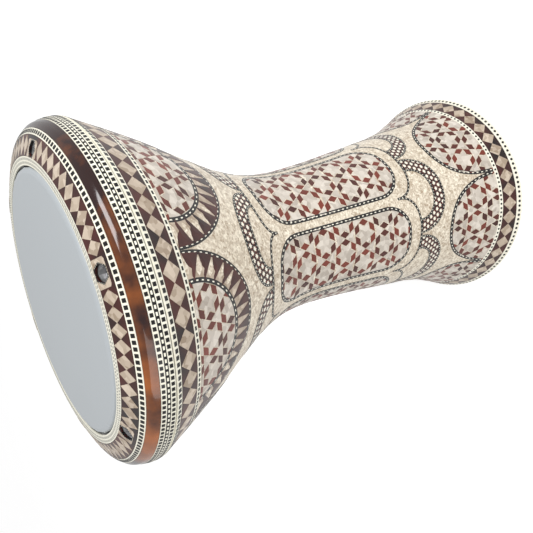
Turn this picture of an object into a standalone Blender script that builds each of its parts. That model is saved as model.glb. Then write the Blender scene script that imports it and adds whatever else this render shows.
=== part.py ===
"""Goblet drum: a cast shell with inlaid skins, a film head in its hoop, and a ring on six screws.

Metres, +Z up. The drum stands on its foot: the origin is the centre of the resting plane and
+Z is the axis of the drum. The ring slides up along +Z as the screws are undone.
"""

import math

import bmesh
import bpy
from mathutils import Matrix, Vector

# Outer surface of the inlaid shell, foot to rim
HEIGHT = 0.440
FOOT_RADIUS = 0.1102
FLARE_HEIGHT = 0.0235
FLARE_RADIUS = 0.1000
ANKLE_HEIGHT = 0.0641
ANKLE_RADIUS = 0.0855
CALF_HEIGHT = 0.1156
CALF_RADIUS = 0.0766
WAIST_DROP = 0.1690
WAIST_RADIUS = 0.0640
THROAT_DROP = 0.1175
THROAT_RADIUS = 0.0749
BOWL_DROP = 0.0454
BOWL_TAPER = 0.0201
WALL = 0.0045
INLAY = 0.0015

# Inlay strips and bands, as heights of the drum that they take up
BOWL_EDGE_STRIP = 0.0039
BOWL_BAND = 0.0142
BOWL_DASH_STRIP = 0.0036
FOOT_EDGE_STRIP = 0.0068
FOOT_BAND = 0.0146
FOOT_DOT_STRIP = 0.0042
FOOT_LIP = 0.0006

# Head: film, its collar, and the hoop that the collar is bonded into
HEAD_RADIUS = 0.09935
FILM = 0.00035
FILM_ROLL = 0.0040
COLLAR = 0.0180
HOOP_WIDTH = 0.0059
HOOP_HEIGHT = 0.0070
HOOP_WALL = 0.0006

# Bearing edge and the flange that the screws go into
FLANGE_DROP = 0.0267
FLANGE = 0.0120
BEARING_WALL = 0.0048
BEARING_INSET = 0.0012

# Tension ring, from the lip outwards
RING_CLEARANCE = 0.00075
LIP_DROP = 0.0006
LIP_WIDTH = 0.0065
LIP_FALL = 0.0003
BEVEL_WIDTH = 0.0140
BEVEL_FALL = 0.0050
SQUARE_STRIP = 0.0040
SQUARE_FALL = 0.0028
SHELL_BAND = 0.0047
SHELL_BAND_FALL = 0.0075
SHELL_BAND_CROWN = 0.0008
SIDE_BANDING = 0.0016
RING_GAP = 0.0010

# Tuning screws, metric six with a socket cap
SCREWS = 6
SHANK_RADIUS = 0.0030
SHANK_LENGTH = 0.0250
CAP_RADIUS = 0.0050
CAP_HEIGHT = 0.0060
KEY_WIDTH = 0.0050
KEY_DEPTH = 0.0030
SCREW_CHAMFER = 0.0006
WASHER_THICKNESS = 0.0012
RECESS_DEPTH = 0.0115
FRAME_RADIUS = 0.0069

# Clearances and facets
GAP = 0.0003
SEGMENTS = 36
SCREW_SEGMENTS = 12
FIELD_STEPS = 12
SHARP_ANGLE = math.radians(35)

# Worked out from the sizes above. The ring grows outwards from the film, and the rim is under it.
ring_inner = HEAD_RADIUS + RING_CLEARANCE
lip_outer = ring_inner + LIP_WIDTH
bevel_outer = lip_outer + BEVEL_WIDTH
square_outer = bevel_outer + SQUARE_STRIP
side_radius = square_outer + SHELL_BAND
rim_radius = side_radius + SIDE_BANDING
bowl_radius = rim_radius - BOWL_TAPER
flange_top = HEIGHT - FLANGE_DROP
flange_bottom = flange_top - FLANGE
screw_turn = math.pi / SEGMENTS
recess_radius = CAP_RADIUS + GAP + 0.5 * GAP


def clear_scene():
    for old in list(bpy.data.objects):
        bpy.data.objects.remove(old, do_unlink=True)


def new_collection(name):
    made = bpy.data.collections.new(name)
    bpy.context.scene.collection.children.link(made)
    return made


def finish(name, colour, roughness, metallic):
    """A Principled material of one colour."""
    made = bpy.data.materials.new(name)
    made.use_nodes = True
    shader = made.node_tree.nodes["Principled BSDF"]
    shader.inputs["Base Color"].default_value = (*colour, 1.0)
    shader.inputs["Roughness"].default_value = roughness
    shader.inputs["Metallic"].default_value = metallic
    return made


def hermite(stations, height):
    """Radius at a height, on the smooth cubic through (height, radius) stations in rising order."""
    slopes = []
    last = len(stations) - 1
    for i in range(len(stations)):
        before = stations[max(i - 1, 0)]
        after = stations[min(i + 1, last)]
        slopes.append((after[1] - before[1]) / (after[0] - before[0]))
    i = 0
    while i < last - 1 and height > stations[i + 1][0]:
        i += 1
    (low, r0), (high, r1) = stations[i], stations[i + 1]
    step = high - low
    t = (height - low) / step
    rise = t * t * (3 - 2 * t)
    bend = slopes[i] * t * (1 - t) ** 2 - slopes[i + 1] * t * t * (1 - t)
    return r0 + (r1 - r0) * rise + bend * step


def inwards(first, second):
    """Unit normal into the material, for an outline that runs down its outer side."""
    along = Vector(second) - Vector(first)
    return Vector((along.y, -along.x)).normalized()


def inset(points, distance, ends=("square", "square")):
    """The outline moved into the material by a distance. A level end keeps its height, a plumb one
    its radius, and a square one moves at right angles to the outline."""
    moved = []
    last = len(points) - 1
    for i, point in enumerate(points):
        before = inwards(points[i - 1], point) if i else None
        after = inwards(point, points[i + 1]) if i < last else None
        if before and after:
            normal = (before + after).normalized()
            moved.append(Vector(point) + normal * (distance / normal.dot(after)))
            continue
        normal = before or after
        kind = ends[1] if before else ends[0]
        shift = {
            "square": normal * distance,
            "level": Vector((-distance / abs(normal.x or 1), 0)),
            "plumb": Vector((0, -distance / abs(normal.y or 1))),
        }[kind]
        moved.append(Vector(point) + shift)
    return [(p.x, p.y) for p in moved]


def trimmed(points):
    """The outline shortened by half a gap at both ends."""
    ends = []
    for end, inner in ((points[0], points[1]), (points[-1], points[-2])):
        along = (Vector(inner) - Vector(end)).normalized()
        ends.append(tuple(Vector(end) + along * (0.5 * GAP)))
    return [ends[0], *points[1:-1], ends[1]]


def turned_mesh(name, outline, segments, closed=True):
    """A mesh turned from an outline of (radius, height) points that runs down its outer side."""
    profile = bpy.data.meshes.new(name)
    count = len(outline)
    edges = [(i, i + 1) for i in range(count - 1)]
    if closed:
        edges.append((count - 1, 0))
    profile.from_pydata([(r, 0, z) for r, z in outline], edges, [])
    blank = bpy.data.objects.new(name + "_profile", profile)
    bpy.context.scene.collection.objects.link(blank)
    screw = blank.modifiers.new("turn", "SCREW")
    screw.axis = "Z"
    screw.steps = segments
    screw.render_steps = segments
    screw.use_merge_vertices = True
    screw.merge_threshold = 0.00001
    bpy.context.view_layer.update()
    graph = bpy.context.evaluated_depsgraph_get()
    mesh = bpy.data.meshes.new_from_object(blank.evaluated_get(graph))
    bpy.data.objects.remove(blank, do_unlink=True)
    mesh.name = name
    mesh.shade_smooth()
    mesh.set_sharp_from_angle(angle=SHARP_ANGLE)
    return mesh


def place(name, mesh, look, parent=None, matrix=None):
    """An object of the drum, at a place in the world."""
    made = bpy.data.objects.new(name, mesh)
    parts.objects.link(made)
    made.parent = parent
    made.matrix_world = matrix or Matrix.Identity(4)
    made.data.materials.clear()
    made.data.materials.append(finish(name, *look))
    return made


def turned(name, outline, look, parent=None, closed=True):
    return place(name, turned_mesh(name, outline, SEGMENTS, closed), look, parent)


def bands(outline, ends, strips, parent):
    """Skins of the inlay's thickness, mitred where they meet, under stretches of a surface.
    A strip is (name, first point, last point, look). The skins come back by name."""
    under = inset(outline, INLAY, ends)
    made = {}
    for name, first, last, look in strips:
        outer = trimmed(outline[first : last + 1])
        inner = trimmed(under[first : last + 1])
        made[name] = turned(name, outer + inner[::-1], look, parent)
    return made


def prisms(name, sides, radius, depth, places):
    """Cutter of one prism for each place, which is a matrix for the prism's middle."""
    shape = bmesh.new()
    for where in places:
        bmesh.ops.create_cone(
            shape,
            cap_ends=True,
            segments=sides,
            radius1=radius,
            radius2=radius,
            depth=depth,
            matrix=where,
        )
    mesh = bpy.data.meshes.new(name)
    shape.to_mesh(mesh)
    shape.free()
    made = bpy.data.objects.new(name, mesh)
    cutters.objects.link(made)
    made.hide_render = True
    made.display_type = "WIRE"
    return made


def cut(target, cutter):
    modifier = target.modifiers.new(cutter.name, "BOOLEAN")
    modifier.operation = "DIFFERENCE"
    modifier.solver = "EXACT"
    modifier.object = cutter


def upright(radius, height, turn):
    """Matrix of a place on a circle round the axis, with its X pointing outwards."""
    return Matrix.Rotation(turn, 4, "Z") @ Matrix.Translation((radius, 0, height))


# Finishes: colour, roughness, metallic
ALUMINIUM = ((0.62, 0.62, 0.63), 0.42, 1.0)
STEEL = ((0.40, 0.40, 0.42), 0.32, 1.0)
FILM_GREY = ((0.56, 0.58, 0.60), 0.38, 0.0)
BONE = ((0.80, 0.77, 0.66), 0.25, 0.0)
PEARL = ((0.62, 0.53, 0.42), 0.22, 0.0)
PEARL_FIELD = ((0.66, 0.58, 0.47), 0.25, 0.0)
TORTOISE = ((0.07, 0.018, 0.010), 0.12, 0.0)
EBONY = ((0.02, 0.018, 0.018), 0.20, 0.0)

clear_scene()
parts = new_collection("goblet_drum")
cutters = new_collection("cutters")

# Shell surface: smooth stations, read at the borders of the strips and along the field
shape = (
    (0.0, FOOT_RADIUS),
    (FLARE_HEIGHT, FLARE_RADIUS),
    (ANKLE_HEIGHT, ANKLE_RADIUS),
    (CALF_HEIGHT, CALF_RADIUS),
    (flange_top - WAIST_DROP, WAIST_RADIUS),
    (flange_top - THROAT_DROP, THROAT_RADIUS),
    (flange_top - BOWL_DROP, bowl_radius),
    (flange_top, rim_radius),
)


def surface(*heights):
    return [(hermite(shape, height), height) for height in heights]


edge_low = flange_top - BOWL_EDGE_STRIP
band_low = edge_low - BOWL_BAND
dash_low = band_low - BOWL_DASH_STRIP
foot_band_low = FOOT_EDGE_STRIP
dot_low = foot_band_low + FOOT_BAND
dot_high = dot_low + FOOT_DOT_STRIP
field_step = (dash_low - dot_high) / FIELD_STEPS
field = [dash_low - field_step * i for i in range(FIELD_STEPS + 1)]

outside = surface(flange_top, edge_low, band_low, *field, dot_low, foot_band_low, 0.0)
metal = inset(outside, INLAY + GAP, ("level", "level"))
inside_heights = [flange_bottom] + [h for h in (band_low, *field, dot_low, 0.0) if h < flange_bottom]
inside = inset(surface(*inside_heights), INLAY + GAP + WALL, ("level", "level"))

# Bearing edge, under the film
crest_top = HEIGHT - FILM - GAP
bearing_outer = HEAD_RADIUS - FILM - BEARING_INSET
bearing_inner = bearing_outer - BEARING_WALL
bearing_crest = 0.5 * (bearing_outer + bearing_inner)
bearing_edge = [
    (bearing_inner, crest_top - 0.5 * BEARING_WALL),
    (bearing_crest - 0.25 * BEARING_WALL, crest_top - 0.1 * BEARING_WALL),
    (bearing_crest, crest_top),
    (bearing_crest + 0.25 * BEARING_WALL, crest_top - 0.1 * BEARING_WALL),
    (bearing_outer, crest_top - 0.5 * BEARING_WALL),
    (bearing_outer, flange_top),
]
shell_outline = bearing_edge + metal + inside[::-1] + [(bearing_inner, flange_bottom)]
shell = turned("shell", shell_outline, ALUMINIUM)

# Skins and strips of the shell
skin_surface = outside[:-1] + surface(FOOT_LIP)
field_end = 3 + FIELD_STEPS
shell_strips = (
    ("bowl_edge_strip", 0, 1, BONE),
    ("bowl_diamond_band", 1, 2, PEARL),
    ("bowl_dash_strip", 2, 3, BONE),
    ("pearl_field", 3, field_end, PEARL_FIELD),
    ("foot_dot_strip", field_end, field_end + 1, BONE),
    ("foot_diamond_band", field_end + 1, field_end + 2, PEARL),
    ("foot_edge_strip", field_end + 2, field_end + 3, BONE),
)
bands(skin_surface, ("level", "level"), shell_strips, shell)

# Head: a flat film that rolls over into a collar
film_top = [
    (0.0, HEIGHT),
    (HEAD_RADIUS - FILM_ROLL, HEIGHT),
    (HEAD_RADIUS - 0.38 * FILM_ROLL, HEIGHT - 0.15 * FILM_ROLL),
    (HEAD_RADIUS - 0.08 * FILM_ROLL, HEIGHT - 0.5 * FILM_ROLL),
    (HEAD_RADIUS, HEIGHT - FILM_ROLL),
    (HEAD_RADIUS, HEIGHT - COLLAR),
]
film_under = inset(film_top, FILM, ("plumb", "level"))
film = turned("head_film", film_top + film_under[::-1], FILM_GREY, shell, closed=False)

# Hoop: a channel that holds the end of the collar
groove_floor = HEIGHT - COLLAR - GAP
groove_outer = HEAD_RADIUS + GAP
groove_inner = HEAD_RADIUS - FILM - GAP
hoop_inner = groove_inner - HOOP_WALL
hoop_outer = hoop_inner + HOOP_WIDTH
hoop_low = groove_floor - 0.3 * HOOP_HEIGHT
hoop_top = hoop_low + HOOP_HEIGHT
hoop_outline = [
    (groove_outer, hoop_top),
    (hoop_outer, hoop_top),
    (hoop_outer, hoop_low),
    (hoop_inner, hoop_low),
    (hoop_inner, hoop_top),
    (groove_inner, hoop_top),
    (groove_inner, groove_floor),
    (groove_outer, groove_floor),
]
turned("head_hoop", hoop_outline, ALUMINIUM, shell)

# Tension ring: its outer surface from the lip round to the parting line
ring_bottom = flange_top + RING_GAP
lip_top = HEIGHT - LIP_DROP
bevel_high = lip_top - LIP_FALL
bevel_low = bevel_high - BEVEL_FALL
square_low = bevel_low - SQUARE_FALL
side_high = square_low - SHELL_BAND_FALL
band_crown = (
    0.5 * (square_outer + side_radius) + SHELL_BAND_CROWN,
    0.5 * (square_low + side_high) + 0.5 * SHELL_BAND_CROWN,
)
side_middle = (rim_radius - 0.25 * SIDE_BANDING, 0.5 * (side_high + ring_bottom))
ring_outside = [
    (ring_inner, lip_top),
    (lip_outer, bevel_high),
    (bevel_outer, bevel_low),
    (square_outer, square_low),
    band_crown,
    (side_radius, side_high),
    side_middle,
    (rim_radius, ring_bottom),
]
ring_metal = inset(ring_outside, INLAY + GAP, ("plumb", "level"))
seat_height = hoop_top + GAP
ring_step = hoop_outer + GAP
ring_outline = ring_metal + [
    (ring_step, ring_bottom),
    (ring_step, seat_height),
    (ring_inner, seat_height),
]

ring_lift = bpy.data.objects.new("ring_lift", None)
parts.objects.link(ring_lift)
ring = turned("tension_ring", ring_outline, ALUMINIUM, ring_lift)
ring_strips = (
    ("ring_lip_strip", 0, 1, BONE),
    ("ring_diamond_band", 1, 2, PEARL),
    ("ring_square_strip", 2, 3, BONE),
    ("tortoiseshell_band", 3, 5, TORTOISE),
    ("ring_side_banding", 5, 7, BONE),
)
bevel_band = bands(ring_outside, ("plumb", "level"), ring_strips, ring_lift)["ring_diamond_band"]

# Screw holes: recess, washer, screw and hexagonal frame, on the middle of a facet of the bevel
bevel_tilt = math.atan2(BEVEL_FALL, bevel_outer - lip_outer)
mitre = INLAY * math.tan(0.5 * bevel_tilt)
frame_reach = FRAME_RADIUS * math.cos(math.pi / 6) + 0.5 * GAP + mitre
screw_circle = (lip_outer + frame_reach * math.cos(bevel_tilt)) * math.cos(math.pi / SEGMENTS)
recess_mouth = bevel_high - frame_reach * math.sin(bevel_tilt)
seat = recess_mouth - RECESS_DEPTH
washer_low = seat + GAP
cap_low = washer_low + WASHER_THICKNESS + GAP
cap_high = cap_low + CAP_HEIGHT
shank_end = cap_low - SHANK_LENGTH
turns = [screw_turn + 2 * math.pi * k / SCREWS for k in range(SCREWS)]
hole_radius = SHANK_RADIUS + GAP
through = 4 * FLANGE + RECESS_DEPTH

recess_cutter = prisms(
    "recess_cutter",
    SCREW_SEGMENTS,
    recess_radius,
    2 * RECESS_DEPTH,
    [upright(screw_circle, seat + RECESS_DEPTH, turn) for turn in turns],
)
hole_cutter = prisms(
    "hole_cutter",
    SCREW_SEGMENTS,
    hole_radius,
    through,
    [upright(screw_circle, seat, turn) for turn in turns],
)
tilted = Matrix.Rotation(bevel_tilt, 4, "Y")
frame_places = [upright(screw_circle, recess_mouth, turn) @ tilted for turn in turns]
pocket_cutter = prisms(
    "pocket_cutter", 6, FRAME_RADIUS + 1.2 * GAP, 4 * INLAY, frame_places
)
cut(shell, hole_cutter)
cut(ring, recess_cutter)
cut(ring, hole_cutter)
cut(bevel_band, pocket_cutter)

screw_outline = [
    (0.0, cap_high),
    (CAP_RADIUS - SCREW_CHAMFER, cap_high),
    (CAP_RADIUS, cap_high - SCREW_CHAMFER),
    (CAP_RADIUS, cap_low),
    (SHANK_RADIUS, cap_low),
    (SHANK_RADIUS, shank_end + SCREW_CHAMFER),
    (SHANK_RADIUS - SCREW_CHAMFER, shank_end),
    (0.0, shank_end),
]
washer_outline = [
    (CAP_RADIUS + 0.5 * GAP, washer_low + WASHER_THICKNESS),
    (CAP_RADIUS + 0.5 * GAP, washer_low),
    (hole_radius, washer_low),
    (hole_radius, washer_low + WASHER_THICKNESS),
]
key_cutter = prisms(
    "key_cutter",
    6,
    KEY_WIDTH / math.sqrt(3),
    2 * KEY_DEPTH,
    [upright(screw_circle, cap_high, turn) for turn in turns],
)
for number, turn in enumerate(turns, 1):
    on_axis = upright(screw_circle, 0, turn)
    screw_mesh = turned_mesh("tuning_screw", screw_outline, SCREW_SEGMENTS, closed=False)
    screw = place(f"tuning_screw_{number}", screw_mesh, STEEL, ring, on_axis)
    cut(screw, key_cutter)
    washer_mesh = turned_mesh("screw_washer", washer_outline, SCREW_SEGMENTS)
    place(f"screw_washer_{number}", washer_mesh, STEEL, ring, on_axis)
    plate = bmesh.new()
    bmesh.ops.create_cone(
        plate,
        cap_ends=True,
        segments=6,
        radius1=FRAME_RADIUS,
        radius2=FRAME_RADIUS,
        depth=INLAY,
        matrix=Matrix.Translation((0, 0, -0.5 * INLAY)),
    )
    frame_mesh = bpy.data.meshes.new("hole_frame")
    plate.to_mesh(frame_mesh)
    plate.free()
    frame = place(f"hole_frame_{number}", frame_mesh, EBONY, ring, frame_places[number - 1])
    cut(frame, recess_cutter)
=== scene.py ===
# %% [markdown]
# # A goblet drum with star inlay
# The drum is a turned metal shell under skins of mosaic. Each skin is one smooth turned surface,
# and each tile of the mosaic is a small solid of its own, laid on that surface. A picture of the
# pattern would be quicker, but real tiles stay crisp from any distance and can be recoloured.

import math

import bmesh
import bpy
import numpy as np
from mathutils import Matrix, Vector


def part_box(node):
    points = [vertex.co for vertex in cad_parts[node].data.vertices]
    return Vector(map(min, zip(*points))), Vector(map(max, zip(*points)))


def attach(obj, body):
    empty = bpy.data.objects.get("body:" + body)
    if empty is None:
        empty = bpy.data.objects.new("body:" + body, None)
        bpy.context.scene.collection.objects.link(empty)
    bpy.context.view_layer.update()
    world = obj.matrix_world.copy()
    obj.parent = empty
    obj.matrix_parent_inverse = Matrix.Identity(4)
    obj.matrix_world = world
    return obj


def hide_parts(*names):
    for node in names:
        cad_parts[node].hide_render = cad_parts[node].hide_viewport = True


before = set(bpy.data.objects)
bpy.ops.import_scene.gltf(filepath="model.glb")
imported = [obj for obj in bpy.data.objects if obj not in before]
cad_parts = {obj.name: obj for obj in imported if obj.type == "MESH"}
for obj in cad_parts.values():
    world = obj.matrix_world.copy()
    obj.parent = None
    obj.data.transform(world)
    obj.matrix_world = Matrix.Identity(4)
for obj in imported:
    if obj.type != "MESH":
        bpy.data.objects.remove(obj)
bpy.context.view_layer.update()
rng = np.random.default_rng(7)
print(f"{len(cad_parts)} pieces came with the frame")

# %% [markdown]
# ## Where the surface runs
# Every tile needs a place on the drum's outer surface. That surface is turned, so a place is an
# angle and a height, and the frame already holds the outline: we read it from the CAD skins.
# A skin's mesh has an outer and an inner line of points; each inner point has its outer partner
# one thickness away, so of each nearest pair we keep the one that lies further out.

# %% Outline of a skin
# In metres: a point this close to the XZ plane lies on it, and no two points are this far apart
ON_PLANE = 1e-5
FAR = 9.0


def outline(node):
    """(radius, height) down the outer side: of each point and its nearest neighbour at angle
    zero, the one whose radius plus height is the larger, in order of radius minus height."""
    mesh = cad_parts[node].data
    co = np.empty(len(mesh.vertices) * 3, np.float32)
    mesh.vertices.foreach_get("co", co)
    co = co.reshape(-1, 3).astype(float)
    section = co[(np.abs(co[:, 1]) < ON_PLANE) & (co[:, 0] > 0)][:, [0, 2]]
    section = np.unique(np.round(section, 6), axis=0)
    apart = np.linalg.norm(section[:, None] - section[None], axis=2)
    np.fill_diagonal(apart, FAR)
    partner = section[apart.argmin(axis=1)]
    outer = section[section.sum(axis=1) > partner.sum(axis=1)]
    return outer[np.argsort(outer[:, 0] - outer[:, 1])]


# %% [markdown]
# The CAD line has about a dozen points, and a turned shell has no corners there. A cubic through
# the points rounds the line off and leaves every point where it is.

# %% Smooth outline of the field
FIELD_POINTS = 140


def smooth(points, count):
    """Points along the cubic through the given ones: each span blends its two ends and their
    slopes, and a slope is the chord between the neighbours."""
    run = np.r_[0, np.cumsum(np.linalg.norm(np.diff(points, axis=0), axis=1))]
    slope = np.gradient(points, run, axis=0)
    at = np.linspace(0, run[-1], count)
    i = np.clip(np.searchsorted(run, at, side="right") - 1, 0, len(run) - 2)
    step = (run[i + 1] - run[i])[:, None]
    t = (at - run[i])[:, None] / step
    a, b = points[i], points[i + 1]
    bend = slope[i] * t * (1 - t) ** 2 - slope[i + 1] * t * t * (1 - t)
    return a + (b - a) * t * t * (3 - 2 * t) + bend * step


FIELD = smooth(outline("pearl_field"), FIELD_POINTS)
top, bottom = FIELD[0, 1], FIELD[-1, 1]
print(f"field runs from z {top:.4f} to {bottom:.4f} m")

# %% [markdown]
# ## Putting a mesh together
# A tile is drawn flat, as corners of angle and height, and one function puts all the corners of a
# piece on the turned surface at once. Bending finished meshes round the drum would stretch them.

# %% Points on the surface
def radius_on(profile, height):
    """The radius of an outline at a height, on the straight line between its points."""
    order = np.argsort(profile[:, 1])
    return np.interp(height, profile[order, 1], profile[order, 0])


def on_surface(profile, angle, height, lift=0.0):
    """A point of the turned surface: the radius at a height, and the lift beyond it, turned by
    an angle in degrees."""
    radius = radius_on(profile, height) + lift
    turn = np.radians(angle)
    return np.stack([radius * np.cos(turn), radius * np.sin(turn), height], axis=-1)


print(f"field is {radius_on(FIELD, FIELD[:, 1]).min():.4f} m in radius at its waist")

# %% [markdown]
# Every piece goes through one function, so that each gets its material and the body it rides on
# in the same way. A tone on each face lets one material colour every tile a little
# differently, and Solidify gives a tile its depth into the bedding.

# %% Making a piece
EVEN_TONE = 0.5
INWARDS = -1


def add_piece(name, points, faces, finish, body, depth=0.0, rounded=False, tones=None):
    """A mesh of given points and faces. With a depth, each face becomes a solid that runs from
    where it lies to that far under it."""
    mesh = bpy.data.meshes.new(name)
    mesh.from_pydata(points.tolist(), [], faces)
    mesh.validate()
    mesh.polygons.foreach_set("use_smooth", [rounded] * len(mesh.polygons))
    tone = mesh.attributes.new("tone", "FLOAT", "FACE")
    if tones is None:
        tones = np.full(len(mesh.polygons), EVEN_TONE)
    tone.data.foreach_set("value", np.asarray(tones, dtype=np.float32)[: len(mesh.polygons)])
    mesh.materials.append(finish.material)
    piece = bpy.data.objects.new(name, mesh)
    bpy.context.scene.collection.objects.link(piece)
    if depth:
        solid = piece.modifiers.new("depth", "SOLIDIFY")
        solid.thickness = depth
        solid.offset = INWARDS
    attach(piece, body)
    print(f"{name}: {len(mesh.polygons)} faces")
    return piece


# %% [markdown]
# A skin is the bedding under the tiles. It is turned again from its own outline with more steps
# than the CAD has, and sunk by a hair, so that a tile never lies in the same plane as its bed.

# %% Skins
SKIN = 0.0012
SINK = 0.00016
SHARP = math.radians(40)


def skin(node, finish, body, count=2, turns=180):
    """A closed turned band: the outline sunk a hair, and the same line one thickness further in,
    turned about Z in equal steps."""
    line = outline(node)
    line = smooth(line, count) if count > len(line) else line
    along = np.gradient(line, axis=0)
    along /= np.linalg.norm(along, axis=1)[:, None]
    normal = np.stack([-along[:, 1], along[:, 0]], axis=1)
    loop = np.concatenate([line - normal * SINK, (line - normal * SKIN)[::-1]])
    turn = np.linspace(0, 2 * np.pi, turns, endpoint=False)[:, None]
    r, z = loop[:, 0], loop[:, 1] + 0 * turn
    grid = np.stack([r * np.cos(turn), r * np.sin(turn), z], axis=-1).reshape(-1, 3)
    n = len(loop)
    i, j = np.meshgrid(np.arange(turns), np.arange(n), indexing="ij")
    i2, j2 = (i + 1) % turns, (j + 1) % n
    quads = np.stack([i * n + j, i * n + j2, i2 * n + j2, i2 * n + j], axis=-1).reshape(-1, 4)
    made = add_piece(node + "_bed", grid, quads.tolist(), finish, body, rounded=True)
    made.data.set_sharp_from_angle(angle=SHARP)
    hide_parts(node)
    return made


# %% [markdown]
# A small tile can stay flat. A wide one would sink under its bed in the middle, so it is cut into
# triangles round a middle point, which lies on the surface itself.

# %% Tiles
WIDE_TILE = 3.5
TILE_DEPTH = 0.00025
LOW_TILE = 0.00002
HIGH_TILE = 0.00006


def fanned(polygon):
    """Triangles from each side of a polygon to the mean of its corners."""
    middle = polygon.mean(axis=0)
    return [np.array([a, b, middle]) for a, b in zip(polygon, np.roll(polygon, -1, axis=0))]


def tiles(name, profile, polygons, finish, body, lift=0.0, depth=TILE_DEPTH):
    """Polygons of (angle, height) corners, laid on a turned surface and given a depth. Each has a
    random tone, and one whose normal points to the axis is turned over."""
    cuts, tones = [], []
    for polygon, tone in zip(polygons, rng.random(len(polygons))):
        cut = fanned(polygon) if np.ptp(polygon[:, 0]) > WIDE_TILE else [polygon]
        cuts += cut
        tones += [tone] * len(cut)
    corners = np.concatenate(cuts)
    points = on_surface(profile, corners[:, 0], corners[:, 1], lift)
    starts = np.r_[0, np.cumsum([len(cut) for cut in cuts])]
    faces = [list(range(a, b)) for a, b in zip(starts[:-1], starts[1:])]
    first, second, third = (points[[face[k] for face in faces]] for k in range(3))
    turned = np.cross(second - first, third - first)
    inward = (turned[:, :2] * first[:, :2]).sum(axis=1) < 0
    faces = [face[::-1] if flip else face for face, flip in zip(faces, inward)]
    return add_piece(name, points, faces, finish, body, depth, tones=tones)


# %% [markdown]
# ## Shader sums
# Materials are easier to read as sums, so a small class wraps a socket: an expression on values
# adds its Math nodes by itself. Any other node, of a material or of the world, comes from one
# method.

# %% Values and nodes
class Value:
    """A socket that sums, differences and products can be written with."""

    def __init__(self, nodes, socket):
        self.nodes, self.socket = nodes, socket

    def _with(self, operation, first, second):
        """A Math node that works out the operation on two values or numbers."""
        return self.nodes.node("ShaderNodeMath", {"operation": operation}, {0: first, 1: second})

    def __add__(self, other):
        return self._with("ADD", self, other)

    def __mul__(self, other):
        return self._with("MULTIPLY", self, other)

    def __sub__(self, other):
        return self._with("SUBTRACT", self, other)

    def __rsub__(self, other):
        return self._with("SUBTRACT", other, self)

    __radd__, __rmul__ = __add__, __mul__


class Nodes:
    """A node tree with one node at its end, whose sockets are fed."""

    def __init__(self, owner, end):
        owner.use_nodes = True
        self.tree = owner.node_tree
        self.end = self.tree.nodes[end]

    def node(self, kind, settings, values, output=0):
        """A node with its settings made first, and then its sockets set or linked."""
        made = self.tree.nodes.new(kind)
        for key, value in settings.items():
            setattr(made, key, value)
        for key, value in values.items():
            if isinstance(value, Value):
                self.tree.links.new(value.socket, made.inputs[key])
            else:
                made.inputs[key].default_value = value
        return Value(self, made.outputs[output])

    def feed(self, socket, value):
        """Links a value to a socket of the end node."""
        self.tree.links.new(value.socket, self.end.inputs[socket])

    def light_path(self):
        """1 for what the camera sees directly, and 0 for light that falls on other things."""
        return self.node("ShaderNodeLightPath", {}, {}, "Is Camera Ray")


# %% [markdown]
# Each finish on the drum, from crushed pearl to cast metal, is one Principled shader. What tells
# them apart is which pattern runs between their two colours, so the patterns are methods. They
# read Object coordinates, which need no unwrapping and run on from piece to piece.

# %% Finishes
# The numbers of the Mix node's two colour sockets, and of its colour result
MIX_FIRST, MIX_SECOND, MIX_RESULT = 6, 7, 2


class Finish(Nodes):
    """A material with one Principled shader."""

    def __init__(self, name, roughness, metallic, coat):
        self.material = bpy.data.materials.new(name)
        super().__init__(self.material, "Principled BSDF")
        for socket, value in (
            ("Roughness", roughness),
            ("Metallic", metallic),
            ("Coat Weight", coat),
            ("Coat Roughness", 0.06),
            ("Specular IOR Level", 0.3),
        ):
            self.end.inputs[socket].default_value = value
        self.place = self.node("ShaderNodeTexCoord", {}, {}, "Object")

    def noise(self, scale, detail=3.0):
        """Soft clouds from 0 to 1."""
        values = {"Vector": self.place, "Scale": scale, "Detail": detail}
        return self.node("ShaderNodeTexNoise", {}, values, "Fac")

    def flakes(self, scale):
        """One random number per cell of a Voronoi pattern, as in crushed shell."""
        values = {"Vector": self.place, "Scale": scale}
        cell = self.node("ShaderNodeTexVoronoi", {}, values, "Color")
        return self.node("ShaderNodeSeparateColor", {}, {"Color": cell}, "Red")

    def tone(self):
        """The tile's own random tone."""
        return self.node("ShaderNodeAttribute", {"attribute_name": "tone"}, {}, "Fac")

    def blend(self, amount, first, second):
        """The first colour at 0, the second at 1, and their mix between."""
        values = {"Factor": amount, MIX_FIRST: first, MIX_SECOND: second}
        settings = {"data_type": "RGBA", "clamp_factor": True}
        return self.node("ShaderNodeMix", settings, values, MIX_RESULT)

    def bump(self, height, distance):
        """Relief as deep as the distance, at half strength."""
        values = {"Height": height, "Distance": distance, "Strength": 0.5}
        self.feed("Normal", self.node("ShaderNodeBump", {}, values, "Normal"))


def two_tone(name, first, second, amount, roughness=0.3, metallic=0.0, coat=0.18):
    """A finish that runs between two colours by an amount worked out from its own nodes."""
    made = Finish(name, roughness, metallic, coat)
    colours = [(*colour, 1.0) for colour in (first, second)]
    made.feed("Base Color", made.blend(amount(made), *colours))
    print(f"{name}: {len(made.tree.nodes)} nodes")
    return made


# %% [markdown]
# ### Mother-of-pearl
# The field is crushed shell: fine bright chips among larger ones. The tiles are plainer pieces,
# so they add a tone of their own to a coarser grain, pale for the stars and warmer for the rhombs
# of the bands.

# %% Pearl finishes
def shell_grain(scale):
    """More than half chips, a quarter the tile's tone, and the rest a slow cloud."""
    return lambda m: m.flakes(scale) * 0.55 + m.tone() * 0.25 + m.noise(scale * 0.3) * 0.2


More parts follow.
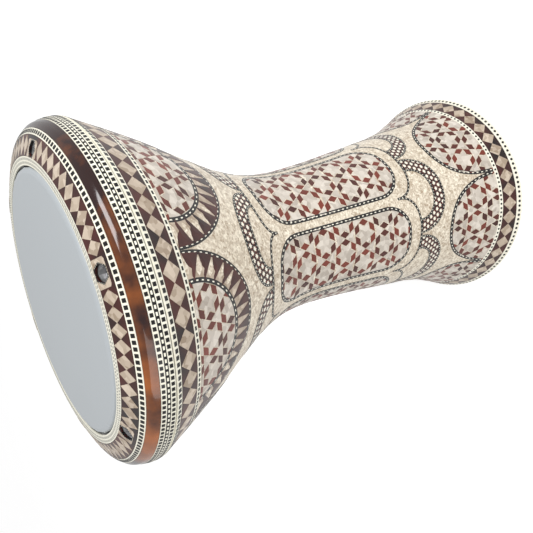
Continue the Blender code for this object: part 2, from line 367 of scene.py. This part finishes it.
crushed = two_tone(
    "crushed_pearl",
    (0.28, 0.19, 0.11),
    (0.88, 0.81, 0.67),
    lambda m: m.flakes(700) * 0.55 + m.flakes(300) * 0.35 + m.noise(40) * 0.2,
)
star_pearl = two_tone("star_pearl", (0.34, 0.29, 0.24), (0.74, 0.68, 0.60), shell_grain(220))
warm_pearl = two_tone("warm_pearl", (0.24, 0.17, 0.11), (0.66, 0.56, 0.45), shell_grain(260))

# %% [markdown]
# ### Dark shell, bone and ebony
# The dark tiles are a red-brown shell that looks nearly black until light catches it, so its
# lighter colour stays deep. The tortoiseshell band is the glossiest: its clouds are stretched
# until they part into dark and amber, under a strong coat.

# %% Shell, bone and ebony finishes
maroon = two_tone(
    "maroon_shell",
    (0.010, 0.004, 0.004),
    (0.13, 0.020, 0.012),
    lambda m: m.noise(45) * 1.4 - 0.45,
)
russet = two_tone(
    "russet_shell",
    (0.018, 0.004, 0.003),
    (0.19, 0.030, 0.014),
    lambda m: m.tone() * 0.8 + m.noise(150) * 0.3,
)
rope = two_tone("rope_inlay", (0.28, 0.28, 0.25), (0.46, 0.45, 0.40), lambda m: m.noise(200))
ebony = two_tone("ebony", (0.004, 0.004, 0.004), (0.014, 0.012, 0.012), lambda m: m.noise(300))
bone = two_tone("bone", (0.78, 0.74, 0.60), (0.88, 0.86, 0.75), lambda m: m.noise(90))
tortoise = two_tone(
    "tortoiseshell",
    (0.018, 0.003, 0.002),
    (0.55, 0.15, 0.018),
    lambda m: m.noise(13, 6) * 4.2 - 2.15,
    roughness=0.15,
    coat=0.6,
)

# %% [markdown]
# ### Film and metal
# The film is a satin grey plastic with hardly any pattern. The shell is cast, so it gets a fine
# relief, and the screws are plated steel and a little shinier.

# %% Film and metal finishes
film_grey = two_tone(
    "film_grey",
    (0.38, 0.41, 0.43),
    (0.42, 0.45, 0.47),
    lambda m: m.noise(6),
    roughness=0.34,
    coat=0.1,
)
cast = two_tone(
    "cast_metal",
    (0.50, 0.50, 0.50),
    (0.66, 0.66, 0.66),
    lambda m: m.noise(220),
    roughness=0.45,
    metallic=1.0,
    coat=0.0,
)
steel = two_tone(
    "steel",
    (0.32, 0.32, 0.34),
    (0.45, 0.45, 0.47),
    lambda m: m.noise(400),
    roughness=0.3,
    metallic=1.0,
    coat=0.0,
)
cast.bump(cast.noise(260), 0.0002)

# %% [markdown]
# ## Beds
# The bed is what shows between the tiles: bone under the strips, maroon shell under the diamonds
# and crushed mother-of-pearl over the whole field.

# %% Beds
for node in ("bowl_edge_strip", "bowl_dash_strip", "foot_dot_strip", "foot_edge_strip"):
    skin(node, bone, "body")
for node in ("bowl_diamond_band", "foot_diamond_band"):
    skin(node, maroon, "body")
skin("pearl_field", crushed, "body", FIELD_POINTS)
skin("ring_lip_strip", bone, "ring")
skin("ring_square_strip", bone, "ring")
skin("ring_side_banding", bone, "ring", 8)
skin("tortoiseshell_band", tortoise, "ring", 9)

# %% [markdown]
# The metal, the film and the screws have their final shape in the CAD already, so they stay as
# they came and only get their finish.

# %% Pieces kept from the CAD
LOOKS = {
    "shell": cast,
    "head_hoop": cast,
    "tension_ring": cast,
    "head_film": film_grey,
    "ring_diamond_band": maroon,
    "hole_frame": ebony,
    "tuning_screw": steel,
    "screw_washer": steel,
}
for name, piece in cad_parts.items():
    look = LOOKS.get(name.rstrip("_0123456789"))
    if look:
        piece.data.materials.clear()
        piece.data.materials.append(look.material)
        print(f"{name}: {look.material.name}")

# %% [markdown]
# ## Star mosaic
# Six-sided stars touch tip to tip in rows. A star and the six rhombs round it fill a hexagon, and
# triangles fill what is left between the hexagons, so one tile size t gives every corner.

# %% Star mosaic
# A triangle's height is the root of 3 in sides of a tile, and three decimals of it are enough
JOINT = 0.92
ROOT_3 = math.sqrt(3)
TRIANGLE_HEIGHT = 1.732
SPARE = 2


def polar(radius, degrees):
    """(x, y) at a radius and an angle: the radius times its cosine and its sine."""
    turn = np.radians(degrees)
    return np.stack([radius * np.cos(turn), radius * np.sin(turn)], axis=-1)


def shrunk(tile, pivot, squash):
    """A tile drawn in to a pivot by the width of a joint, and squashed in height."""
    return (pivot + (tile - pivot) * JOINT) * (1, squash)


def star_mosaic(t, squash, width, height):
    """Rhombs, star kites and triangles of side t, to at least a width and a height each way from
    the origin. Hexagons stand 4t apart in rows, and rows stand 4t times the sine of 60 degrees
    apart, times squash."""
    rhombs, kites, triangles = [], [], []
    rows = int(height / (2 * ROOT_3 * t * squash)) + SPARE
    columns = int(width / (4 * t)) + SPARE
    for row in range(-rows, rows + 1):
        for column in range(-columns, columns + 1):
            centre = np.array([4 * t * (column + 0.5 * (row % 2)), 2 * ROOT_3 * t * row])
            for a in range(0, 360, 60):
                inner, tip, after = polar(t, a), polar(2 * t, a), polar(t, a + 60)
                side = polar(ROOT_3 * t, np.array([a - 30, a + 30]))
                rhomb = centre + np.array([inner, side[0], tip, side[1]])
                kite = centre + np.array([[0, 0], inner, side[1], after])
                rhombs.append(shrunk(rhomb, rhomb.mean(axis=0), squash))
                kites.append(shrunk(kite, centre, squash))
            for y in (TRIANGLE_HEIGHT * t, -TRIANGLE_HEIGHT * t):
                triangle = centre + np.array([[2 * t, 0], [t, y], [3 * t, y]])
                triangles.append(shrunk(triangle, triangle.mean(axis=0), squash))
    return rhombs, kites, triangles


sample = star_mosaic(0.007, 1.0, 0.02, 0.02)
print("tiles to 2 cm each way:", [len(group) for group in sample])

# %% [markdown]
# A maker cuts the tiles at a panel's edge to fit. Cutting by each side of the edge in turn is
# exact for a convex panel, and far quicker than a boolean for a thousand tiles.

# %% Cutting tiles to a panel
def clipped(polygon, edge):
    """The part of a convex polygon inside a convex edge: it is cut by each side in turn, where
    the distance to that side passes zero."""
    for a, b in zip(edge, np.roll(edge, -1, axis=0)):
        run = b - a
        side = run[0] * (polygon[:, 1] - a[1]) - run[1] * (polygon[:, 0] - a[0])
        kept = []
        for j in range(len(polygon)):
            k = (j + 1) % len(polygon)
            if side[j] >= 0:
                kept.append(polygon[j])
            if (side[j] >= 0) != (side[k] >= 0):
                kept.append(polygon[j] + (polygon[k] - polygon[j]) * side[j] / (side[j] - side[k]))
        if len(kept) < 3:
            return None
        polygon = np.array(kept)
    return polygon


# %% [markdown]
# The panels repeat six times round the drum. The screws stand between the arches, so one angle
# places both.

# %% Laying a mosaic
SECTORS = 6
SCREW_ANGLE = 5.0
PANEL_ANGLE = SCREW_ANGLE + 180.0 / SECTORS


def repeated(polygons, first_angle=0.0, count=SECTORS):
    """Copies of polygons in equal steps of a full turn."""
    turn = 360.0 / count
    return [p + (first_angle + turn * k, 0) for k in range(count) for p in polygons]


def lay_mosaic(
    name,
    t,
    squash,
    edge,
    level,
    finishes=(russet, star_pearl, star_pearl),
    first_angle=PANEL_ANGLE,
    fit=clipped,
):
    """A star mosaic in an edge of (angle, height) points, with a star's middle at a level. A
    tile's x becomes the angle whose arc at its own height is that long."""
    width = np.radians(np.ptp(edge[:, 0])) * radius_on(FIELD, edge[:, 1]).max()
    groups = star_mosaic(t, squash, width / 2 + 4 * t, np.ptp(edge[:, 1]) / 2 + 4 * t)
    for label, group, finish in zip(("rhombs", "stars", "triangles"), groups, finishes):
        kept = []
        for tile in group:
            height = tile[:, 1] + level
            angle = np.degrees(tile[:, 0] / radius_on(FIELD, height))
            cut = fit(np.stack([angle, height], axis=1), edge)
            if cut is not None:
                kept.append(cut)
        if kept:
            laid = repeated(kept, first_angle)
            tiles(f"{name}_{label}", FIELD, laid, finish, "body")


# %% [markdown]
# ## Borders
# A border is a ribbon along a line: black, with white dashes at an even pitch. Every border on
# the drum is made this way, so its line is all that changes.

# %% Borders
DASH_WIDTH = 0.26
DASH_FROM, DASH_TO = 0.30, 0.68


def unrolled(points, radius):
    """(angle, height) points laid flat: the arc of the angle at a radius, and the height."""
    return np.stack([np.radians(points[:, 0]) * radius, points[:, 1]], axis=1)


def ribbon(line, width, start=0.0, stop=1.0, pieces=60):
    """Quads along a line of (angle, height) points, half the width to each side of it, measured
    on the surface, and the line's length."""
    flat = unrolled(line, radius_on(FIELD, line[:, 1]).mean())
    run = np.r_[0, np.cumsum(np.linalg.norm(np.diff(flat, axis=0), axis=1))]
    at = np.linspace(start, stop, pieces + 1) * run[-1]
    middle = np.stack([np.interp(at, run, line[:, k]) for k in (0, 1)], axis=1)
    here = radius_on(FIELD, middle[:, 1])
    along = np.gradient(unrolled(middle, here), axis=0)
    along /= np.linalg.norm(along, axis=1)[:, None]
    off = np.stack([-along[:, 1], along[:, 0]], axis=1) * width / 2
    off[:, 0] = np.degrees(off[:, 0] / here)
    left, right = middle + off, middle - off
    quads = [np.array([left[i], right[i], right[i + 1], left[i + 1]]) for i in range(pieces)]
    return quads, run[-1]


def border(name, line, first_angle, width=0.0034, pitch=0.0048):
    """A black ribbon, and as many dashes on it as its length holds at the pitch."""
    black, length = ribbon(line, width)
    count = max(int(length / pitch), 1)
    white = []
    for k in range(count):
        start, stop = (k + DASH_FROM) / count, (k + DASH_TO) / count
        white += ribbon(line, width * DASH_WIDTH, start, stop, 1)[0]
    for label, quads, finish, lift in (
        ("", black, ebony, LOW_TILE),
        ("_dashes", white, bone, HIGH_TILE),
    ):
        laid = repeated(quads, first_angle)
        tiles(name + label, FIELD, laid, finish, "body", lift)


# %% [markdown]
# The panels have two outlines: an arch that stands on the rim or on the foot, and a rounded
# medallion round the neck. Both are written in angle and height, so they wrap by themselves.

# %% Arches and medallions
def arch(half_width, base, crest, bulge=2.2, points=48):
    """An arch from base to crest: height runs with the superellipse of the angle."""
    u = np.sin(np.linspace(-math.pi / 2, math.pi / 2, points))
    rise = (1 - np.abs(u) ** bulge) ** (1 / bulge)
    return np.stack([u * half_width, base + (crest - base) * rise], axis=1)


def stadium(half_width, low, high, corner_angle, corner_height, points=12):
    """A rectangle in angle and height with elliptical corners."""
    quarter = np.linspace(0, math.pi / 2, points)
    ends = []
    for corner, (sx, sy) in enumerate(((1, 1), (-1, 1), (-1, -1), (1, -1))):
        phase = quarter + corner * math.pi / 2
        x = sx * (half_width - corner_angle) + corner_angle * np.cos(phase)
        middle = high - corner_height if sy > 0 else low + corner_height
        ends.append(np.stack([x, middle + corner_height * np.sin(phase)], axis=1))
    return np.concatenate(ends)


# %% [markdown]
# ### Bowl arches
# Under the rim stand six arches, each with a smaller one inside that holds the stars. Both are
# the same curve with other sizes, so their borders run side by side.

# %% Bowl arches
outer_arch = arch(half_width=29.2, base=top, crest=0.3347)
inner_arch = arch(half_width=20.6, base=top, crest=0.3525)
border("bowl_arch_edge", outer_arch, PANEL_ANGLE)
border("bowl_arch_inner_edge", inner_arch, PANEL_ANGLE)
lay_mosaic("bowl_arch", t=0.0064, squash=0.9, edge=inner_arch, level=0.3790)

# %% [markdown]
# Between the two arches runs a fan of dark wedges on pale shell. We read both arches at equal
# shares of their length and join the points crosswise, so the wedges turn with the curve.

# %% Fans of the bowl arches
WEDGES = 15
WEDGE_GAP = 0.06
PALE_LIFT, DARK_LIFT = -0.00003, 0.00012


def along_line(line, at):
    """The line read at fractions of its points' numbers."""
    numbers = np.arange(len(line))
    return np.stack([np.interp(at, numbers, line[:, k]) for k in (0, 1)], axis=-1)


ends = np.linspace(0, len(outer_arch) - 1, WEDGES + 1)
i, j = ends[:-1], ends[1:]
pale = [along_line(outer_arch, i), along_line(outer_arch, j)]
pale += [along_line(inner_arch, j), along_line(inner_arch, i)]
dark = [along_line(outer_arch, i + WEDGE_GAP), along_line(outer_arch, j - WEDGE_GAP)]
dark += [along_line(inner_arch, (i + j) / 2)]
for name, wedge, finish, lift in (
    ("bowl_fan_pale", pale, warm_pearl, PALE_LIFT),
    ("bowl_fan_dark", dark, maroon, DARK_LIFT),
):
    wedges = repeated(np.stack(wedge, axis=1), PANEL_ANGLE)
    tiles(name, FIELD, wedges, finish, "body", lift)

# %% [markdown]
# ### Medallions and foot arches
# The neck carries six long medallions, and the foot six arches that stand on its lowest band.

# %% Medallions and foot arches
medallion = stadium(
    half_width=25.4, low=0.1350, high=0.2883, corner_angle=21.0, corner_height=0.025
)
border("medallion_edge", np.vstack([medallion, medallion[:1]]), PANEL_ANGLE)
lay_mosaic("medallion", t=0.0070, squash=0.93, edge=medallion, level=0.2116)

foot_arch = arch(half_width=29.2, base=bottom, crest=0.0810)
border("foot_arch_edge", foot_arch, PANEL_ANGLE)
lay_mosaic("foot_arch", t=0.0068, squash=0.95, edge=foot_arch[::-1], level=0.0500)

# %% [markdown]
# ### Scallops
# Beyond each end of the medallions runs a scalloped line whose cusps meet between the panels. It
# is six flat arches side by side, each as wide as its sector.

# %% Scallops
FINE = {"width": 0.0022, "pitch": 0.004}
scallop_high = arch(half_width=30.0, base=0.2840, crest=0.3004, bulge=2.6)
scallop_low = arch(half_width=30.0, base=0.1442, crest=0.1207, bulge=2.6)
border("scallop_head_side", scallop_high, PANEL_ANGLE, **FINE)
border("scallop_foot_side", scallop_low, PANEL_ANGLE, **FINE)

# %% [markdown]
# ### Crescents
# A black crescent stands on each cusp, with the smallest tiles of the drum. They are too small
# to be cut, so a tile is laid whole where it fits and left out where it doesn't.

# %% Crescents
FINER = {"width": 0.0020, "pitch": 0.003}
CRESCENT_LIFT = -0.00008
CRESCENT_MARGIN = 0.0012


def between(small, toward):
    """Keeps a tile whose middle is inside the big arch and outside the small one by a margin."""

    def fit(tile, big):
        angle, height = tile.mean(axis=0)
        outer = toward * (np.interp(angle, big[:, 0], big[:, 1]) - height)
        inner = toward * (height - np.interp(angle, small[:, 0], small[:, 1]))
        return tile if min(outer, inner) > CRESCENT_MARGIN else None

    return fit


for name, base, crest, inner_crest, toward in (
    ("bowl_crescent", 0.3004, 0.3247, 0.3135, 1),
    ("foot_crescent", 0.1207, 0.0875, 0.0997, -1),
):
    big = arch(half_width=28.5, base=base, crest=crest)
    small = arch(half_width=19.0, base=base, crest=inner_crest)
    border(name + "_outer_edge", big, SCREW_ANGLE, **FINER)
    border(name + "_inner_edge", small, SCREW_ANGLE, **FINER)
    black_bed = np.stack([big[:-1], big[1:], small[1:], small[:-1]], axis=1)
    laid = repeated(black_bed, SCREW_ANGLE)
    tiles(name + "_bed", FIELD, laid, ebony, "body", CRESCENT_LIFT)
    lay_mosaic(
        name,
        t=0.0014,
        squash=0.9,
        edge=big,
        level=(base + crest) / 2,
        finishes=(russet, bone, ebony),
        first_angle=SCREW_ANGLE,
        fit=between(small, toward),
    )

# %% [markdown]
# ## Bands of rhombs
# Pearl rhombs stand point to point on maroon shell, at the rim and at the foot. One is drawn as
# wide as its slot and as high as the band, and then turned into every slot.

# %% Bands of rhombs
BAND_MARGIN = 0.02


def across(profile, share):
    """The height at a share of the way down an outline."""
    return profile[0, 1] + (profile[-1, 1] - profile[0, 1]) * share


def rhomb_row(profile, count, skip=()):
    """Rhombs point to point: corners at the sides of a slot and at the band's two edges."""
    half = 180.0 / count
    high, middle, low = (across(profile, share) for share in (BAND_MARGIN, 0.5, 1 - BAND_MARGIN))
    one = np.array([[-half, middle], [0, low], [half, middle], [0, high]])
    return [one + (k * 2 * half, 0) for k in range(count) if k not in skip]


for node, count in (("bowl_diamond_band", 56), ("foot_diamond_band", 45)):
    line = outline(node)
    tiles(node + "_rhombs", line, rhomb_row(line, count), warm_pearl, "body")

# %% [markdown]
# ## Bevel of the ring
# The bevel carries the screw holes, each in a six-sided black frame on a pale plate that takes
# the place of a rhomb or two. Their edges are a circle, hexagons and a rectangle, so each edge is
# written as a distance from the screw over the angle, and they can be paired as we like.

# %% Edges round a screw
RECESS_RADIUS = 0.00545
FRAME_RADIUS = 0.0069
NOT_ZERO = 1e-6


def bore(turn):
    """Distance to the screw's round recess: the same all round."""
    return np.full_like(turn, RECESS_RADIUS)


def hexagon(radius):
    """Distance to a hexagon's edge with flats across the slope: the apothem over the cosine of
    the angle from the nearest flat's middle."""
    flat = radius * math.cos(math.pi / 6)
    return lambda turn: flat / np.cos(np.mod(turn + math.pi / 6, math.pi / 3) - math.pi / 6)


def plate(down, side):
    """Distance to a rectangle's edge, by the nearer of its two pairs of sides."""
    return lambda turn: np.minimum(
        down / np.maximum(np.abs(np.cos(turn)), NOT_ZERO),
        side / np.maximum(np.abs(np.sin(turn)), NOT_ZERO),
    )


FRAME_EDGE = hexagon(FRAME_RADIUS)
DASH_INSIDE, DASH_OUTSIDE = hexagon(FRAME_RADIUS * 0.93), hexagon(FRAME_RADIUS * 0.98)
PLATE_INSIDE = hexagon(FRAME_RADIUS + 0.0001)
PLATE_OUTSIDE = plate(down=0.0062, side=0.0090)
print(f"frame is {2000 * FRAME_EDGE(0.0):.1f} mm across its flats")

# %% [markdown]
# Frame, dashes and plate all fill the space between two of these edges, so one function lays
# them. It measures on the slope itself, so that a frame is equally wide all round.

# %% Between two edges
bevel = outline("ring_diamond_band")


def curve_round(number, curve, count):
    """(angle, height) points of a closed curve round a screw: its distances are laid down the
    bevel by the cosine and along the bevel's circle by the sine."""
    low, high = (np.array(corner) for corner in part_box(f"tuning_screw_{number}"))
    centre = (low + high)[:2] / 2
    distance = math.hypot(*centre)
    level = np.interp(distance, bevel[:, 0], bevel[:, 1])
    fall = (bevel[-1] - bevel[0]) / np.linalg.norm(bevel[-1] - bevel[0])
    turn = np.arange(count + 1) * 2 * math.pi / count
    down, side = curve(turn) * np.cos(turn), curve(turn) * np.sin(turn)
    angle = math.degrees(math.atan2(centre[1], centre[0])) + np.degrees(
        side / (distance + down * fall[0])
    )
    return np.stack([angle, level + down * fall[1]], axis=1)


def round_screws(inner, outer, count=36, every=1):
    """Quads between two curves round every screw, all of them or the first of each few."""
    quads = []
    for number in range(1, SECTORS + 1):
        near, far = (curve_round(number, curve, count) for curve in (inner, outer))
        for i in range(0, count, every):
            quads.append(np.array([near[i], far[i], far[i + 1], near[i + 1]]))
    return quads


print(f"bevel runs from radius {bevel[0, 0]:.4f} to {bevel[-1, 0]:.4f} m")

# %% [markdown]
# The frame is thicker than a tile, because it lines the mouth of the recess. The plate starts
# about a tenth of a millimetre outside it.

# %% Bevel with its frames
FRAME_DEPTH = 0.0015
PLATE_LIFT = -0.00002

bed = skin("ring_diamond_band", maroon, "ring", turns=360)
frame_quads = round_screws(bore, FRAME_EDGE)
rims = tiles("hole_rims", bevel, frame_quads, ebony, "ring", 0.0, FRAME_DEPTH)
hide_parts(*[f"hole_frame_{number}" for number in range(1, SECTORS + 1)])
dashes = round_screws(DASH_INSIDE, DASH_OUTSIDE, count=72, every=3)
tiles("hole_rim_dashes", bevel, dashes, bone, "ring", HIGH_TILE)
plates = round_screws(PLATE_INSIDE, PLATE_OUTSIDE)
tiles("hole_plates", bevel, plates, warm_pearl, "ring", PLATE_LIFT)

# %% [markdown]
# The bed under all this is one closed band, and the recesses go through it. A six-sided prism at
# each screw, a little wider than its frame, has the shape of what must go.

# %% Prisms at the screws
SIDES = 6
REACH = np.array([0, 0, 0.003])

prism = [list(range(SIDES)), list(range(2 * SIDES - 1, SIDES - 1, -1))]
for k in range(SIDES):
    after = (k + 1) % SIDES
    prism.append([after, k, SIDES + k, SIDES + after])
pocket_points, pocket_faces = [], []
for number in range(1, SECTORS + 1):
    corners = on_surface(bevel, *curve_round(number, PLATE_INSIDE, SIDES)[:-1].T)
    base = 2 * SIDES * (number - 1)
    pocket_points += [corners + REACH, corners - REACH]
    pocket_faces += [[base + k for k in face] for face in prism]
pocket_mesh = bpy.data.meshes.new("pockets")
pocket_mesh.from_pydata(np.concatenate(pocket_points).tolist(), [], pocket_faces)
shape = bmesh.new()
shape.from_mesh(pocket_mesh)
bmesh.ops.recalc_face_normals(shape, faces=shape.faces)
shape.to_mesh(pocket_mesh)
shape.free()
pockets = bpy.data.objects.new("pockets", pocket_mesh)
bpy.context.scene.collection.objects.link(pockets)
print(f"pockets: {len(pocket_faces)} faces")

# %% [markdown]
# A boolean cuts the prisms out cleanly. Its result is kept as a plain mesh and the prisms are
# removed, so that nothing live is left on the piece.

# %% Holes in the bed
cut = bed.modifiers.new("pockets", "BOOLEAN")
cut.object = pockets
cut.solver = "EXACT"
bpy.context.view_layer.update()
finished = bpy.data.meshes.new_from_object(bed.evaluated_get(bpy.context.evaluated_depsgraph_get()))
bed.modifiers.clear()
bed.data = finished
bpy.data.objects.remove(pockets, do_unlink=True)
print(f"bed of the bevel: {len(finished.polygons)} faces once cut")

# %% [markdown]
# The rhombs of the bevel fill every slot but those within one slot of a screw.

# %% Rhombs of the bevel
SLOTS = 72
SLOT = 360.0 / SLOTS
SECTOR = 360.0 / SECTORS

middles = (np.arange(SLOTS) + 0.5) * SLOT
from_screw = np.abs((middles - SCREW_ANGLE + SECTOR / 2) % SECTOR - SECTOR / 2)
framed = np.flatnonzero(from_screw < SLOT)
bevel_rhombs = [rhomb + (SLOT / 2, 0) for rhomb in rhomb_row(bevel, SLOTS, framed)]
tiles("ring_rhombs", bevel, bevel_rhombs, warm_pearl, "ring")

# %% [markdown]
# ## Strips
# The narrow strips are bone with black squares. Each row has a count round the drum, the share
# of its slot that a square fills, and the two shares of the strip that it lies between.

# %% Squares on the strips
def squares_row(profile, count, fill, low, high):
    """Tiles between two shares of the way down, that fill a share of their slots round."""
    half = 180.0 / count * fill
    a, b = across(profile, low), across(profile, high)
    one = np.array([[-half, a], [-half, b], [half, b], [half, a]])
    return repeated([one], 0, count)


for node, body, rows in (
    ("ring_square_strip", "ring", ((185, 0.62, 0.2, 0.8),)),
    ("ring_side_banding", "ring", ((197, 0.6, 0.06, 0.28), (197, 0.62, 0.7, 0.93))),
    ("bowl_edge_strip", "body", ((176, 0.62, 0.2, 0.8),)),
    ("bowl_dash_strip", "body", ((182, 0.6, 0.3, 0.7),)),
):
    line = outline(node)
    squares = [square for row in rows for square in squares_row(line, *row)]
    tiles(node + "_squares", line, squares, ebony, body, LOW_TILE)

# %% [markdown]
# The lip of the ring has two rows of slanting grey tiles that look like a twisted rope, and the
# side has a black line with white dashes on it.

# %% Rope and side line
ROPE_SLANT = np.array([[0, 0], [0.5, 0], [0.5, 0], [0, 0]])

lip = outline("ring_lip_strip")
for row, (low, high) in enumerate(((0.18, 0.42), (0.60, 0.84))):
    twist = [square + ROPE_SLANT for square in squares_row(lip, 250, 0.55, low, high)]
    tiles(f"ring_rope_row_{row + 1}", lip, twist, rope, "ring", LOW_TILE)

side = outline("ring_side_banding")
black_line = squares_row(side, 180, 1.0, 0.36, 0.62)
tiles("ring_black_line", side, black_line, ebony, "ring", LOW_TILE)
white_line = squares_row(side, 197, 0.55, 0.43, 0.55)
tiles("ring_white_dashes", side, white_line, bone, "ring", HIGH_TILE)

# %% [markdown]
# The foot has two strips of black dots. Twelve sides are enough for a dot that is two or three
# millimetres wide.

# %% Dots at the foot
DOT_SQUASH = 0.93


def dots_row(profile, count, radius, sides=12):
    """Round dots in the middle of a strip, their radius as an angle one way and a height the
    other."""
    middle = profile.mean(axis=0)
    ring = polar(1.0, np.arange(sides) * 360.0 / sides)
    scale = (np.degrees(radius / middle[0]), radius * DOT_SQUASH)
    return repeated([ring * scale + (0, middle[1])], 0, count)


for node, count, radius in (("foot_dot_strip", 140, 0.0011), ("foot_edge_strip", 139, 0.00135)):
    line = outline(node)
    dots = dots_row(line, count, radius)
    tiles(node + "_dots", line, dots, ebony, "body", LOW_TILE)

# %% [markdown]
# ## Floor
# The photograph has a plain white ground. A pale floor that glows only for the camera gives it
# that ground, keeps the drum's soft shadow, and throws no light of its own on the drum.

# %% Floor
FLOOR_REACH = 60.0
FLOOR_GLOW = (0.42, 0.42, 0.42, 1)
NO_GLOW = (0, 0, 0, 1)

floor_mesh = bpy.data.meshes.new("floor")
corners = FLOOR_REACH * np.array([[-1, -1, 0], [1, -1, 0], [1, 1, 0], [-1, 1, 0]])
floor_mesh.from_pydata(corners.tolist(), [], [(0, 1, 2, 3)])
floor = bpy.data.objects.new("floor", floor_mesh)
bpy.context.scene.collection.objects.link(floor)
ground = two_tone(
    "ground",
    (0.90, 0.90, 0.90),
    (0.93, 0.93, 0.93),
    lambda m: m.noise(2),
    roughness=0.9,
    coat=0.0,
)
ground.feed("Emission Color", ground.blend(ground.light_path(), NO_GLOW, FLOOR_GLOW))
ground.end.inputs["Emission Strength"].default_value = 1.0
floor_mesh.materials.append(ground.material)

# %% [markdown]
# ## Light
# A soft even light from the whole sky, seen as white by the camera, with a key lamp and a weaker
# fill. Both lamps point near the middle of the drum.

# %% Light
DAYLIGHT = 0.62
WHITE = (1, 1, 1, 1)
AIM = Vector((0, 0, 0.25))

world = bpy.data.worlds.new("world")
bpy.context.scene.world = world
sky = Nodes(world, "Background")
sky.end.inputs["Color"].default_value = WHITE
sky.feed("Strength", sky.light_path() * (1 - DAYLIGHT) + DAYLIGHT)


def lamp(name, place, size, power):
    """A square lamp turned so that its face looks from its place to the aim."""
    light = bpy.data.lights.new(name, "AREA")
    light.size = size
    light.energy = power
    made = bpy.data.objects.new(name, light)
    bpy.context.scene.collection.objects.link(made)
    made.location = place
    made.rotation_euler = (AIM - Vector(place)).to_track_quat("-Z", "Y").to_euler()
    print(f"{name}: {power} W at {place}")


lamp("key", place=(0.9, 0.9, 1.3), size=0.8, power=20)
lamp("fill", place=(0.8, -1.1, 0.9), size=1.0, power=6)

# %% [markdown]
# ## Camera
# The camera stands where the photograph was taken from. Its place, its direction and its lens
# were found by matching the drum's circles, so they are written as that fit gave them. The shift
# puts the middle of the lens a little off the middle of the picture, as after a crop.

# %% Camera
SENSOR = 36
LENS_SHARE = 553.516 / 533
EYE = (0.4281, 0, 0.5330)
LOOK = Vector((-0.8125, -0.0462, -0.5811))
ROLL = math.radians(-107.87)

camera_data = bpy.data.cameras.new("camera")
camera_data.sensor_width = SENSOR
camera_data.lens = SENSOR * LENS_SHARE
camera_data.shift_x = -0.05065
camera_data.shift_y = -0.00661
camera = bpy.data.objects.new("camera", camera_data)
bpy.context.scene.collection.objects.link(camera)
turned = LOOK.to_track_quat("-Z", "Y").to_matrix().to_4x4() @ Matrix.Rotation(ROLL, 4, "Z")
camera.matrix_world = Matrix.Translation(EYE) @ turned
bpy.context.scene.camera = camera
bpy.context.scene.view_settings.view_transform = "Standard"
print(f"lens is {camera_data.lens:.2f} mm")
